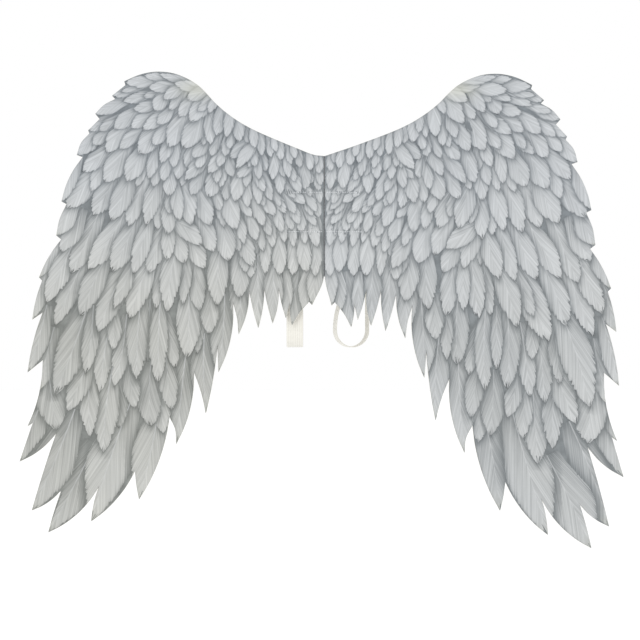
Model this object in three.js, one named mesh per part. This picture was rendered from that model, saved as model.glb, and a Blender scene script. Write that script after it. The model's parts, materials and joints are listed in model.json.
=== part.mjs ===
// A pair of costume wings for the back: two die-cut foam wings with printed feathers, which fold
// towards each other at the middle, a sewn back patch and two elastic arm loops.
//
// Millimetres. +X is to the right as the printed face is seen, +Z is up, and the printed face
// looks along -Y. The origin is on the wearer's side of the back patch, at its centre.

import * as THREE from "three";

// ---- Driving dimensions -------------------------------------------------------------------

const PATCH_THICKNESS = 1.0;
const LINING_THICKNESS = 0.4;
const CORE_THICKNESS = 2.0;
const FACE_THICKNESS = 0.5;

const FOLD_WEB_HALF_WIDTH = 0.4; // the face fabric that bridges the fold
const FOLD_CLEARANCE = 0.1; // left beside it when a wing is folded right over
const FOLD_HALF_GAP = FOLD_WEB_HALF_WIDTH + FOLD_CLEARANCE + FACE_THICKNESS;
const FOLD_TOP = 85;
const FOLD_BOTTOM = -98;

const WINGSPAN_SCALE = 1.0; // stretches the wings sideways
const WING_HEIGHT_SCALE = 1.0; // stretches the wings up and down
const LEFT_WING_LIFT = 2.3; // degrees that the left wing is sewn on higher than the right
const LEFT_WING_SIZE = 0.98; // the left wing is cut this much smaller than the right
const LEFT_WING_CENTRE = [76, 14]; // x, z that the lift turns about

const STRAP_WIDTH = 25;
const STRAP_THICKNESS = 1.5;
const LEFT_STRAP_X = -45;
const RIGHT_STRAP_X = 41;
const LOOP_HALF_WIDTH = 26;
const LOOP_BOTTOM = -206;
const LOOP_SWING_CLEARANCE = 1.15; // between the patch and a loop that swings past it
const LEFT_LOOP_TURN = 0; // degrees from hanging square to the patch
const RIGHT_LOOP_TURN = -78;

const PATCH_MARGIN = 4.5; // patch beyond the outermost strap edge
const PATCH_HALF_HEIGHT = 38;
const PATCH_STRIP_HALF_WIDTH = 2.5; // the part of the patch that stays at the fold
const PATCH_CUT = 0.3; // gap between that strip and each half

const THREAD = 0.4;
const STITCH_ROW_EDGE = 8; // from the patch's upper or lower edge to its row of stitches
const STITCH_ROW_INNER = 3.2; // from the fold to a row's start
const STITCH_ROW_MARGIN = 3.5; // from a row's end to the patch's side edge

const SEWN_END_INSIDE = 10; // strap past the row of stitches, towards the middle
const SEWN_END_OUTSIDE = 6; // flat strap past the patch's edge
const LOWER_END_DROP = 36; // height in which the lower end swings out to the loop
const STRAP_CUT_GAP = 0.3;

// ---- Worked out from them -------------------------------------------------------------------

const OUTERMOST_STRAP = Math.max(Math.abs(LEFT_STRAP_X), Math.abs(RIGHT_STRAP_X));
const PATCH_HALF_WIDTH = OUTERMOST_STRAP + STRAP_WIDTH / 2 + PATCH_MARGIN;
const STITCH_ROW_OUTER = PATCH_HALF_WIDTH - STITCH_ROW_MARGIN;
const STITCH_ROW_HEIGHT = PATCH_HALF_HEIGHT - STITCH_ROW_EDGE;
const STRAP_SEWN_INNER = STITCH_ROW_HEIGHT - SEWN_END_INSIDE;
const STRAP_SEWN_OUTER = PATCH_HALF_HEIGHT + SEWN_END_OUTSIDE;
const STRAP_LOWER_CUT = -STRAP_SEWN_OUTER - LOWER_END_DROP;

// A loop swings about a line this far behind the patch, so that its corners clear the patch.
const STRAP_STAND_OFF = Math.hypot(LOOP_HALF_WIDTH, STRAP_WIDTH / 2) + LOOP_SWING_CLEARANCE;

// ---- Colours ------------------------------------------------------------------------------

const cloth = (color) => new THREE.MeshStandardMaterial({ color, roughness: 0.9, metalness: 0 });
const PRINT = cloth(0xc3c8cd);
const FOAM = cloth(0xe6e1d6);
const LINING = cloth(0xe4e4e2);
const ELASTIC = cloth(0xe6e1d8);
const THREAD_COLOUR = cloth(0xd9dade);

// ---- Depths of the layers, from the wearer's side to the printed side ------------------------

const PATCH_BACK = 0;
const PATCH_FRONT = PATCH_BACK - PATCH_THICKNESS;
const LINING_FRONT = PATCH_FRONT - LINING_THICKNESS;
const CORE_FRONT = LINING_FRONT - CORE_THICKNESS;
const FACE_FRONT = CORE_FRONT - FACE_THICKNESS;

// ---- Outline of a wing ----------------------------------------------------------------------

// The smooth upper edge, from the fold to the shoulder.
const LEADING_EDGE = [
  [FOLD_HALF_GAP, FOLD_TOP],
  [62, 106],
  [124, 131],
  [166, 158],
  [200, 190],
  [232, 206],
  [262, 210],
  [290, 205],
  [316, 193],
];

// One row for each feather along the edge, from the shoulder down and back to the fold: the notch
// that it starts from, how far its first side bows out, its tip, and how far its second side does.
const FEATHERS = [
  { notch: [314, 187], bow: 2, tip: [334, 170], bow2: 0 },
  { notch: [329, 165], bow: 3, tip: [359, 141], bow2: 0 },
  { notch: [352, 133], bow: 1, tip: [369, 115], bow2: 0 },
  { notch: [367, 110], bow: 4, tip: [385, 76], bow2: 0 },
  { notch: [376, 73], bow: 5, tip: [406, 3], bow2: 0 },
  { notch: [398, -1], bow: 3, tip: [412, -50], bow2: 0 },
  { notch: [404, -56], bow: 3, tip: [436, -116], bow2: 0 },
  { notch: [431, -121], bow: 2, tip: [444, -182], bow2: 1 },
  { notch: [428, -170], bow: 3, tip: [448, -264], bow2: 1 },
  { notch: [425, -244], bow: -6, tip: [445, -348], bow2: 0 },
  { notch: [437, -342], bow: 0, tip: [455, -403], bow2: 5 },
  { notch: [400, -357], bow: 1, tip: [433, -478], bow2: 4 },
  { notch: [388, -444], bow: 1, tip: [406, -511], bow2: 9 },
  { notch: [330, -436], bow: 2, tip: [340, -491], bow2: 7 },
  { notch: [275, -410], bow: 1, tip: [267, -454], bow2: 8 },
  { notch: [225, -324], bow: -4, tip: [213, -366], bow2: 8 },
  { notch: [190, -253], bow: -2, tip: [169, -317], bow2: 2 },
  { notch: [155, -210], bow: 0, tip: [152, -252], bow2: 8 },
  { notch: [134, -142], bow: -2, tip: [123, -192], bow2: 4 },
  { notch: [109, -125], bow: 1, tip: [93, -181], bow2: 2 },
  { notch: [86, -120], bow: 1, tip: [71, -173], bow2: 3 },
  { notch: [64, -118], bow: 1, tip: [51, -164], bow2: 0 },
  { notch: [46, -141], bow: 1, tip: [41, -175], bow2: -2 },
  { notch: [16, -137], bow: 0, tip: [11, -142], bow2: 0 },
];

const LEADING_EDGE_STEPS = 22;
const SIDE_STEP = 22; // one straight step along a feather's side is about this long
const MOST_SIDE_STEPS = 5;

const vector = ([x, z]) => new THREE.Vector2(x, z);

// Points after `from`, up to and including `to`, on a curve that bows out of the wing by `bow`.
function featherSide(from, to, bow) {
  const a = vector(from);
  const b = vector(to);
  const along = b.clone().sub(a);
  const outward = new THREE.Vector2(-along.y, along.x).normalize();
  const control = a.clone().lerp(b, 0.5).addScaledVector(outward, 2 * bow);
  const steps = THREE.MathUtils.clamp(Math.round(along.length() / SIDE_STEP), 1, MOST_SIDE_STEPS);
  return new THREE.QuadraticBezierCurve(a, control, b).getPoints(bow === 0 ? 1 : steps).slice(1);
}

// A right wing's outline, clockwise from the top of the fold to its bottom.
function wingOutline() {
  const points = new THREE.SplineCurve(LEADING_EDGE.map(vector)).getPoints(LEADING_EDGE_STEPS);
  points.push(vector(FEATHERS[0].notch));
  FEATHERS.forEach(({ notch, bow, tip, bow2 }, i) => {
    const next = FEATHERS[i + 1] ? FEATHERS[i + 1].notch : [FOLD_HALF_GAP, FOLD_BOTTOM];
    points.push(...featherSide(notch, tip, bow), ...featherSide(tip, next, bow2));
  });
  return points;
}

// The same outline for one side, with its fold edge kept straight and in its place.
function outlineOf(side) {
  const centre = vector(LEFT_WING_CENTRE);
  return wingOutline().map((point) => {
    const placed = point.clone();
    if (point.x > FOLD_HALF_GAP) {
      placed.rotateAround(centre, THREE.MathUtils.degToRad(side.lift));
      placed.sub(centre).multiplyScalar(side.size).add(centre);
      placed.x = Math.max(placed.x * WINGSPAN_SCALE, FOLD_HALF_GAP);
    }
    return new THREE.Vector2(side.sign * placed.x, placed.y * WING_HEIGHT_SCALE);
  });
}

// ---- Making solids --------------------------------------------------------------------------

const model = new THREE.Group();

function add(name, geometry, material) {
  const mesh = new THREE.Mesh(geometry, material);
  mesh.name = name;
  model.add(mesh);
  return mesh;
}

// A flat layer: an outline in X and Z, solid from depth `front` back to depth `back`.
function layer(points, front, back) {
  const geometry = new THREE.ExtrudeGeometry(new THREE.Shape(points), {
    depth: back - front,
    bevelEnabled: false,
  });
  geometry.rotateX(Math.PI / 2); // the extrusion now runs along -Y
  return geometry.translate(0, back, 0);
}

function rectangle(x0, x1, z0, z1) {
  return [
    new THREE.Vector2(x0, z0),
    new THREE.Vector2(x1, z0),
    new THREE.Vector2(x1, z1),
    new THREE.Vector2(x0, z1),
  ];
}

// A band of even thickness that follows `path`, whose x is the distance from the patch or from the
// loop's own axis and whose y is the height. Its width lies across X, centred.
function band(path) {
  const half = STRAP_THICKNESS / 2;
  const normals = path.map((point, i) => {
    const before = path[Math.max(i - 1, 0)];
    const after = path[Math.min(i + 1, path.length - 1)];
    const along = after.clone().sub(before).normalize();
    return new THREE.Vector2(along.y, -along.x);
  });
  const onSide = (sign) => path.map((p, i) => p.clone().addScaledVector(normals[i], sign * half));
  const outline = [...onSide(1), ...onSide(-1).reverse()];
  const geometry = new THREE.ExtrudeGeometry(new THREE.Shape(outline), {
    depth: STRAP_WIDTH,
    bevelEnabled: false,
  });
  geometry.translate(0, 0, -STRAP_WIDTH / 2);
  geometry.rotateX(Math.PI / 2); // heights now run along Z
  return geometry.rotateZ(Math.PI / 2); // distances now run along Y
}

// ---- The fold -------------------------------------------------------------------------------

add(
  "fold_face_strip",
  layer(
    rectangle(
      -FOLD_WEB_HALF_WIDTH,
      FOLD_WEB_HALF_WIDTH,
      FOLD_BOTTOM * WING_HEIGHT_SCALE,
      FOLD_TOP * WING_HEIGHT_SCALE,
    ),
    FACE_FRONT,
    CORE_FRONT,
  ),
  PRINT,
);
add(
  "patch_middle",
  layer(
    rectangle(
      -PATCH_STRIP_HALF_WIDTH,
      PATCH_STRIP_HALF_WIDTH,
      -PATCH_HALF_HEIGHT,
      PATCH_HALF_HEIGHT,
    ),
    PATCH_FRONT,
    PATCH_BACK,
  ),
  LINING,
);

// ---- The wings ------------------------------------------------------------------------------

function addWingLayers(side) {
  const outline = outlineOf(side);
  add(`${side.name}_printed_face`, layer(outline, FACE_FRONT, CORE_FRONT), PRINT);
  add(`${side.name}_foam_core`, layer(outline, CORE_FRONT, LINING_FRONT), FOAM);
  add(`${side.name}_back_lining`, layer(outline, LINING_FRONT, PATCH_FRONT), LINING);
}

function addPatchHalf(side) {
  const inner = PATCH_STRIP_HALF_WIDTH + PATCH_CUT;
  const corners = rectangle(
    side.sign * inner,
    side.sign * PATCH_HALF_WIDTH,
    -PATCH_HALF_HEIGHT,
    PATCH_HALF_HEIGHT,
  );
  add(`${side.name}_back_patch`, layer(corners, PATCH_FRONT, PATCH_BACK), LINING);
}

// ---- The stitching --------------------------------------------------------------------------

// A row on the printed side is one straight strip.
function needleThread(side, height) {
  const row = rectangle(
    side.sign * STITCH_ROW_INNER,
    side.sign * STITCH_ROW_OUTER,
    height - THREAD / 2,
    height + THREAD / 2,
  );
  return layer(row, FACE_FRONT - THREAD, FACE_FRONT);
}

// A row on the wearer's side lies on the patch and climbs over the strap that it holds down.
function bobbinThread(side, height) {
  const strapEdge = STRAP_WIDTH / 2 + STRAP_CUT_GAP;
  const low = Math.abs(side.strapX) - strapEdge;
  const high = Math.abs(side.strapX) + strapEdge;
  const top = PATCH_BACK + STRAP_THICKNESS;
  const ends = [
    [STITCH_ROW_INNER, PATCH_BACK],
    [low, PATCH_BACK],
    [low, top],
    [high, top],
    [high, PATCH_BACK],
    [high + 2 * THREAD, PATCH_BACK],
    [high + 2 * THREAD, PATCH_BACK + THREAD],
    [high + THREAD, PATCH_BACK + THREAD],
    [high + THREAD, top + THREAD],
    [low - THREAD, top + THREAD],
    [low - THREAD, PATCH_BACK + THREAD],
    [STITCH_ROW_INNER, PATCH_BACK + THREAD],
  ];
  const shape = new THREE.Shape(ends.map(([x, y]) => new THREE.Vector2(side.sign * x, y)));
  const geometry = new THREE.ExtrudeGeometry(shape, { depth: THREAD, bevelEnabled: false });
  return geometry.translate(0, 0, height - THREAD / 2);
}

function addStitching(side) {
  const rows = { upper: STITCH_ROW_HEIGHT, lower: -STITCH_ROW_HEIGHT };
  for (const [row, height] of Object.entries(rows)) {
    add(`${side.name}_${row}_needle_thread`, needleThread(side, height), THREAD_COLOUR);
    add(`${side.name}_${row}_bobbin_thread`, bobbinThread(side, height), THREAD_COLOUR);
  }
}

// ---- The straps -----------------------------------------------------------------------------

const MID = STRAP_THICKNESS / 2;
const at = (distance, height) => new THREE.Vector2(distance, height);

// The upper end is sewn on, rises past the patch and turns over to hang down.
function upperEndPath() {
  const radius = (STRAP_STAND_OFF - MID) / 2;
  const steps = 14;
  const path = [at(MID, STRAP_SEWN_INNER)];
  for (let i = 0; i <= steps; i++) {
    const angle = Math.PI * (1 - i / steps);
    const distance = MID + radius + radius * Math.cos(angle);
    path.push(at(distance, STRAP_SEWN_OUTER + radius * Math.sin(angle)));
  }
  return path;
}

// The lower end is sewn on, hangs past the patch and swings out to the loop's axis.
function lowerEndPath() {
  const start = at(MID, -STRAP_SEWN_OUTER);
  const end = at(STRAP_STAND_OFF, STRAP_LOWER_CUT);
  const reach = (start.y - end.y) * 0.6;
  const curve = new THREE.CubicBezierCurve(
    start,
    at(start.x, start.y - reach),
    at(end.x, end.y + reach),
    end,
  );
  return [at(MID, -STRAP_SEWN_INNER), ...curve.getPoints(14)];
}

// The loop, about its own axis: out and down from the upper end, round, and up to the lower end.
function loopPath() {
  const radius = LOOP_HALF_WIDTH - MID;
  const turn = LOOP_BOTTOM + LOOP_HALF_WIDTH;
  const top = STRAP_SEWN_OUTER - STRAP_CUT_GAP;
  const bottom = STRAP_LOWER_CUT - STRAP_CUT_GAP;
  const fullyOut = -STRAP_SEWN_OUTER - LOWER_END_DROP / 2; // beside the lower end, clear of it
  const reach = (top - fullyOut) * 0.5;
  const down = new THREE.CubicBezierCurve(
    at(0, top),
    at(0, top - reach),
    at(radius, fullyOut + reach),
    at(radius, fullyOut),
  );
  const up = new THREE.CubicBezierCurve(
    at(-radius, turn),
    at(-radius, turn + 50),
    at(0, bottom - 35),
    at(0, bottom),
  );
  const path = [...down.getPoints(14), at(radius, turn)];
  const steps = 14;
  for (let i = 1; i < steps; i++) {
    const angle = (-Math.PI * i) / steps;
    path.push(at(radius * Math.cos(angle), turn + radius * Math.sin(angle)));
  }
  return [...path, ...up.getPoints(10)];
}

function addStrap(side) {
  for (const [end, path] of [["upper", upperEndPath()], ["lower", lowerEndPath()]]) {
    const mesh = add(`${side.name}_strap_${end}_end`, band(path), ELASTIC);
    mesh.position.x = side.strapX;
  }
  const loop = add(`${side.name}_strap_loop`, band(loopPath()), ELASTIC);
  loop.position.set(side.strapX, STRAP_STAND_OFF, 0);
  loop.rotation.z = THREE.MathUtils.degToRad(side.loopTurn);
}

// ---- Assembly -------------------------------------------------------------------------------

const LEFT = {
  name: "left",
  sign: -1,
  lift: LEFT_WING_LIFT,
  size: LEFT_WING_SIZE,
  strapX: LEFT_STRAP_X,
  loopTurn: LEFT_LOOP_TURN,
};
const RIGHT = {
  name: "right",
  sign: 1,
  lift: 0,
  size: 1,
  strapX: RIGHT_STRAP_X,
  loopTurn: RIGHT_LOOP_TURN,
};

for (const side of [LEFT, RIGHT]) {
  addWingLayers(side);
  addPatchHalf(side);
  addStitching(side);
  addStrap(side);
}

export default model;
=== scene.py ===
"""Costume feather wings: the finished look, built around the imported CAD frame.

Metres, +Z up, printed face towards -Y. The layout of the printed feathers is written in
millimetres on the right wing and mirrored to the left one.
"""
import json
import math

import bpy
import numpy as np
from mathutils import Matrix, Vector
from mathutils.geometry import delaunay_2d_cdt


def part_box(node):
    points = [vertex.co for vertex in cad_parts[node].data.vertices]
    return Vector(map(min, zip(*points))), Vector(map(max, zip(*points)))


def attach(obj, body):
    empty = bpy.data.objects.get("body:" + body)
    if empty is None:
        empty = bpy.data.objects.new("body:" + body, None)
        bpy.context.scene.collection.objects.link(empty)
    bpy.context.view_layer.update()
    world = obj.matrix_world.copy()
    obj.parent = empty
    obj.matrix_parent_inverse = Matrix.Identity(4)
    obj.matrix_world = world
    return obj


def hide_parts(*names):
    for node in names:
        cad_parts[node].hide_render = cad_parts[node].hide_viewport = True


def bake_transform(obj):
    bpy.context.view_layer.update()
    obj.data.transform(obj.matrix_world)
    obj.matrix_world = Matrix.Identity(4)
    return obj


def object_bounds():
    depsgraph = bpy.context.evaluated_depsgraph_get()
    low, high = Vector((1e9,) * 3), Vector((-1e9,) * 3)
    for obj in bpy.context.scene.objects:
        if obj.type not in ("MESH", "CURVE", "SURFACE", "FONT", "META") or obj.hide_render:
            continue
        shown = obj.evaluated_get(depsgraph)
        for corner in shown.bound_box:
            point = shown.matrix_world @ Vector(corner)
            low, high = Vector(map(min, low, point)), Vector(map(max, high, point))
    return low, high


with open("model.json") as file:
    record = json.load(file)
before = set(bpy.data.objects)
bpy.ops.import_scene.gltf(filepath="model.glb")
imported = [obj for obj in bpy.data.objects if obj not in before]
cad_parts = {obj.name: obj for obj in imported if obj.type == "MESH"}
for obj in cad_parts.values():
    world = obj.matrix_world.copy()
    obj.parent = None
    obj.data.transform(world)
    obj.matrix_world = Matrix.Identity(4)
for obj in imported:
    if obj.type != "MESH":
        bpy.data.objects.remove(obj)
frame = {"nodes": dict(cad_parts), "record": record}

CAD_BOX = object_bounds()
MM = 0.001

# ---- Sizes read from the frame --------------------------------------------------------------


def node_box(name):
    low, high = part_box(name)
    return Vector(low), Vector(high)


FACE_BOX = node_box("right_printed_face")
CORE_BOX = node_box("right_foam_core")
LINING_BOX = node_box("right_back_lining")
PATCH_BOX = node_box("right_back_patch")
FACE_FRONT = FACE_BOX[0].y
FACE_BACK = FACE_BOX[1].y
CORE_BACK = CORE_BOX[1].y
LINING_BACK = LINING_BOX[1].y
PATCH_BACK = PATCH_BOX[1].y
FOLD_EDGE = FACE_BOX[0].x
JOINTS = {joint["name"]: joint for joint in frame["record"]["behaviour"]["joints"]}

# ---- The layout of the feathers -------------------------------------------------------------

# Each feather is (tip x, tip z, base x, base z, width) in mm on the right wing.
PRIMARY = [
    (455, -403, 410, -272, 50), (445, -348, 420, -262, 34), (433, -478, 372, -318, 66),
    (406, -511, 338, -370, 72), (340, -491, 285, -300, 72), (267, -454, 240, -296, 58),
    (213, -366, 203, -215, 46), (169, -317, 176, -178, 42), (152, -252, 147, -130, 40),
    (123, -192, 127, -62, 38), (93, -181, 99, -60, 34), (71, -173, 74, -66, 32),
    (43, -176, 34, -90, 42), (52, -164, 53, -90, 20), (11, -142, 6, -72, 26),
    (24, -152, 18, -80, 26), (429, -290, 409, -192, 38), (448, -264, 422, -158, 34),
    (444, -182, 422, -100, 34), (436, -116, 402, -42, 34), (412, -50, 385, 4, 36),
]
SECONDARY = [
    (253, -340, 256, -268, 36), (279, -313, 290, -262, 25), (325, -383, 318, -285, 38),
    (347, -360, 350, -272, 30), (383, -322, 357, -248, 32), (400, -352, 412, -276, 46),
    (222, -313, 231, -248, 27), (234, -350, 238, -290, 26), (302, -345, 306, -285, 26),
    (245, -272, 246, -172, 27), (278, -269, 276, -165, 34), (313, -281, 302, -200, 25),
    (335, -291, 322, -190, 31), (404, -297, 366, -178, 46), (219, -248, 234, -186, 23),
    (202, -232, 204, -142, 36), (316, -224, 317, -178, 21), (169, -194, 168, -143, 27),
    (358, -262, 352, -186, 24), (262, -240, 262, -170, 18), (186, -225, 186, -160, 20),
    (124, -136, 126, -74, 31), (158, -149, 156, -74, 31), (185, -158, 194, -86, 29),
    (235, -162, 226, -80, 30), (253, -158, 245, -98, 21), (293, -175, 268, -98, 33),
    (341, -197, 304, -104, 39), (369, -173, 340, -100, 33), (408, -189, 374, -106, 32),
    (424, -155, 392, -76, 31), (212, -150, 212, -88, 20), (318, -160, 298, -100, 22),
    (266, -103, 248, -40, 29), (290, -105, 272, -36, 25), (323, -103, 296, -38, 33),
    (360, -101, 322, -36, 33), (387, -108, 356, -32, 33), (404, -76, 381, -26, 30),
    (273, -29, 258, 32, 25), (301, -32, 278, 38, 30), (328, -24, 305, 38, 30),
    (356, -17, 330, 36, 34), (397, -8, 360, 46, 34), (340, 35, 315, 82, 33),
    (306, 38, 288, 78, 29), (239, -42, 233, 20, 26),
]
COVERT = [
    (8, -98, 11, -50, 19), (22, -92, 26, -50, 20), (43, -98, 45, -54, 20),
    (63, -98, 65, -52, 21), (85, -98, 86, -42, 18), (104, -86, 131, -38, 25),
    (143, -79, 153, -36, 28), (167, -66, 184, -22, 26), (180, -92, 200, -54, 26),
    (211, -86, 227, -36, 25), (238, -82, 238, -34, 20), (116, -96, 118, -60, 18),
    (7, -52, 14, -14, 16), (26, -48, 32, -8, 15), (43, -53, 47, -12, 15),
    (57, -47, 66, -9, 15), (75, -56, 81, -13, 17), (90, -62, 96, -24, 16),
    (101, -46, 113, -11, 18), (120, -52, 132, -16, 16), (134, -31, 145, 16, 25),
    (152, -27, 161, 12, 18), (174, -25, 190, 22, 27), (185, -56, 222, -25, 26),
    (204, -26, 216, 28, 28), (256, -36, 250, 10, 19), (222, -20, 226, 22, 18),
    (10, -19, 26, 5, 14), (9, 3, 30, 30, 14), (32, -31, 34, -2, 15),
    (47, -28, 54, 2, 14), (62, -32, 70, 0, 15), (28, 14, 50, 35, 15),
    (42, -2, 60, 26, 16), (57, -2, 77, 25, 15), (74, -6, 93, 22, 18),
    (91, -23, 104, 15, 19), (110, -9, 127, 13, 15), (117, 5, 119, 42, 17),
    (137, 13, 130, 52, 21), (152, 14, 148, 50, 18), (178, 18, 167, 59, 25),
    (205, 20, 191, 53, 20), (240, 17, 236, 58, 22), (265, 31, 254, 66, 17),
    (222, 34, 210, 66, 16), (290, 30, 280, 66, 16), (375, 50, 347, 80, 24),
    (406, 3, 386, 66, 26), (360, 20, 345, 62, 20), (28, 35, 31, 72, 19),
    (36, 29, 50, 58, 15), (8, 34, 12, 66, 15), (55, 53, 60, 84, 13),
    (67, 27, 69, 64, 17), (80, 49, 80, 82, 16), (80, 17, 95, 54, 17),
    (100, 10, 104, 50, 16), (101, 49, 104, 80, 14), (136, 51, 118, 68, 14),
    (143, 51, 148, 78, 17), (121, 36, 118, 62, 14), (160, 34, 156, 66, 15),
    (180, 55, 162, 88, 19), (216, 43, 183, 82, 20), (228, 44, 218, 84, 22),
    (272, 43, 266, 78, 16), (254, 68, 243, 100, 17), (234, 62, 232, 94, 16),
    (197, 62, 190, 90, 16), (165, 66, 158, 92, 14),
    (9, 62, 10, 82, 13), (22, 66, 25, 86, 12), (38, 70, 42, 92, 13),
    (52, 74, 57, 98, 12), (68, 80, 72, 103, 13), (84, 84, 88, 110, 13),
    (98, 86, 102, 116, 13), (15, 74, 17, 90, 10), (46, 84, 50, 101, 10),
    (76, 93, 80, 109, 10), (110, 97, 112, 122, 13), (118, 67, 107, 94, 14),
    (137, 65, 115, 96, 17), (146, 80, 126, 103, 19), (155, 83, 153, 108, 15),
    (177, 82, 168, 106, 14), (205, 79, 189, 103, 20), (220, 92, 199, 136, 28),
    (243, 93, 223, 137, 29), (289, 81, 259, 119, 29), (319, 88, 290, 115, 19),
    (340, 82, 314, 116, 26), (362, 92, 340, 114, 18), (385, 76, 360, 108, 26),
    (268, 96, 246, 122, 20), (306, 96, 290, 118, 16), (190, 98, 184, 124, 14),
    (134, 105, 137, 138, 18), (154, 112, 151, 147, 15), (169, 114, 165, 152, 19),
    (179, 99, 182, 138, 18), (121, 104, 123, 130, 14), (144, 120, 144, 143, 12),
    (212, 134, 182, 178, 27), (229, 141, 212, 166, 18), (244, 151, 226, 177, 17),
    (267, 149, 253, 171, 21), (285, 119, 247, 144, 21), (303, 122, 278, 139, 19),
    (329, 119, 305, 140, 21), (352, 115, 330, 132, 15), (369, 115, 342, 133, 18),
    (300, 150, 270, 159, 17), (317, 162, 275, 175, 17), (278, 185, 238, 188, 18),
    (359, 141, 324, 157, 20), (334, 170, 294, 181, 18), (314, 191, 274, 192, 18),
    (285, 203, 244, 201, 15), (320, 177, 284, 184, 12), (218, 169, 189, 184, 19),
    (238, 193, 200, 188, 17), (183, 149, 173, 169, 12), (254, 168, 232, 184, 17),
    (285, 170, 256, 181, 14), (345, 152, 318, 160, 13), (262, 206, 222, 200, 12),
    (200, 150, 178, 174, 14),
    (5, 16, 9, 40, 12), (12, 12, 22, 34, 12), (6, -6, 10, 16, 12), (16, -4, 26, 16, 12),
    (5, -34, 8, -10, 12), (16, -36, 24, -12, 12), (19, 26, 32, 46, 12), (5, 44, 8, 62, 12),
    (18, 46, 26, 66, 12), (44, 22, 58, 42, 13), (92, 30, 104, 56, 14), (66, 8, 80, 34, 14),
    (45, 48, 54, 68, 12), (62, 54, 70, 78, 13), (91, 62, 98, 84, 13), (126, 26, 138, 54, 15),
    (108, 68, 112, 92, 13), (166, 40, 168, 70, 15), (36, -18, 46, 6, 14), (80, -38, 92, -10, 15),
    (30, 44, 38, 62, 12), (74, 66, 82, 88, 12), (160, -2, 168, 26, 16), (92, 8, 100, 34, 14),
    (190, -8, 198, 22, 18), (238, -10, 234, 24, 20), (212, 60, 206, 90, 17), (250, 40, 244, 68, 16),
    (200, 112, 192, 142, 17), (232, 118, 220, 146, 18), (262, 128, 246, 148, 16),
    (150, 94, 146, 116, 14),
    (101, -70, 106, -38, 17), (116, -74, 120, -42, 17), (128, -64, 135, -34, 17),
    (108, -104, 110, -66, 19),
]

# The left wing is a mirror copy, sewn on higher and cut smaller.
LEFT_LIFT = math.radians(2.3)
LEFT_SIZE = 0.98
LEFT_CENTRE = np.array([76.0, 14.0])
LEFT_WARMTH, RIGHT_WARMTH = 0.95, 0.35  # how warm the print is towards the tips

HIDDEN = {"primary": 0.0, "secondary": 0.40, "covert": 0.55}  # length under the row above
WIDER = {"primary": 1.0, "secondary": 1.12, "covert": 1.18}  # room for the overlap at each side
GRAIN = 2.6  # mm between the rows and columns of a feather's mesh
RELIEF = 0.95  # mm that the tip of a long feather stands above the sheet
LEAST_RELIEF = 0.05  # mm that its base does
CROWN = 0.14  # mm that the middle of a feather 30 mm wide stands above its sides
LAYERING = 0.35  # mm by which the uppermost feathers are laid over the lowest
LOWEST, TALLNESS, HALF_SPAN = -520, 740, 460  # mm, where the wings' tips lie
INWARDS = 0.25  # share of the layering by which the middle lies over the ends
JUMBLE = 0.25  # mm by which neighbours may differ
BARB_SWEEP = 2.1  # how far a row of the mesh runs towards the tip for each mm from the shaft
BARB_SLOPE = 3.4  # how far a printed barb runs towards the tip for each mm from the shaft
BRUSHED = 0.055  # share of a feather's width, from its edge, in which its barbs part
TUCK = 0.12  # mm that a feather lies below the one that covers it
TUCK_RISE = 0.12  # how steeply it comes out from under the other, in mm for each mm
TUCK_ROUNDS = 3  # times that all pairs are tucked, as one tuck can undo another
THINNEST_FILM = 0.02  # mm that a tucked feather keeps in front of the sheet
SETTLE = 3.4  # mm beside the covering feather in which it comes out
REACH = 10.0  # mm beside a feather in which it shades the one below
EDGE_FADE, EDGE_LEFT = 14.0, 0.15  # mm from the cut edge in which it drops to that share
FOLD_FADE = 18.0  # mm from the fold in which it fades out
FLAT_LEFT = 0.06  # share of the relief that is left at the fold and the stitches
STITCH_HALF_HEIGHT = (PATCH_BOX[1].z - 0.008) / MM  # height of a row of stitches
STITCH_CLEAR, STITCH_FADE = 0.6, 3.0  # mm beside a row that are flat, and that fade
STITCH_REACH = 58.5  # mm from the fold to a row's end


# ---- Camera, light and floor ----------------------------------------------------------------

PIXEL = 1.519 * MM  # size of one picture point at the wings
PICTURE = 640
CAMERA_DISTANCE = 4.2
CAMERA_SHIFT = (-1.5, -10)  # picture points from the middle of the wings to the picture's
SENSOR = 36.0
FLOOR_HEIGHT = -1.05
FLOOR_HALF = 30.0
FLOOR_GLOW = 0.12
LIGHT_AIM = (0, 0, -0.15)
LIGHTS = (  # name, place, size in metres, watts
    ("key", (-1.6, -3.2, 1.6), 1.8, 32),
    ("fill", (2.0, -3.0, 0.4), 2.0, 16),
    ("back", (1.4, 3.2, 1.8), 2.0, 14),
)


def add_camera():
    low, high = Vector(CAD_BOX[0]), Vector(CAD_BOX[1])
    middle = (low + high) / 2
    camera = bpy.data.cameras.new("camera")
    camera.sensor_width = SENSOR
    camera.lens = SENSOR * CAMERA_DISTANCE / (PICTURE * PIXEL)
    camera.clip_end = 60
    thing = bpy.data.objects.new("camera", camera)
    right, up = CAMERA_SHIFT
    thing.location = (
        middle.x + right * PIXEL, FACE_FRONT - CAMERA_DISTANCE, middle.z + up * PIXEL
    )
    thing.rotation_euler = (math.pi / 2, 0, 0)
    bpy.context.collection.objects.link(thing)
    bpy.context.scene.camera = thing


def add_light(name, place, size, power):
    light = bpy.data.lights.new(name, "AREA")
    light.energy = power
    light.shape = "DISK"
    light.size = size
    thing = bpy.data.objects.new(name, light)
    thing.location = place
    thing.rotation_euler = (Vector(LIGHT_AIM) - Vector(place)).to_track_quat("-Z", "Y").to_euler()
    bpy.context.collection.objects.link(thing)


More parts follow.
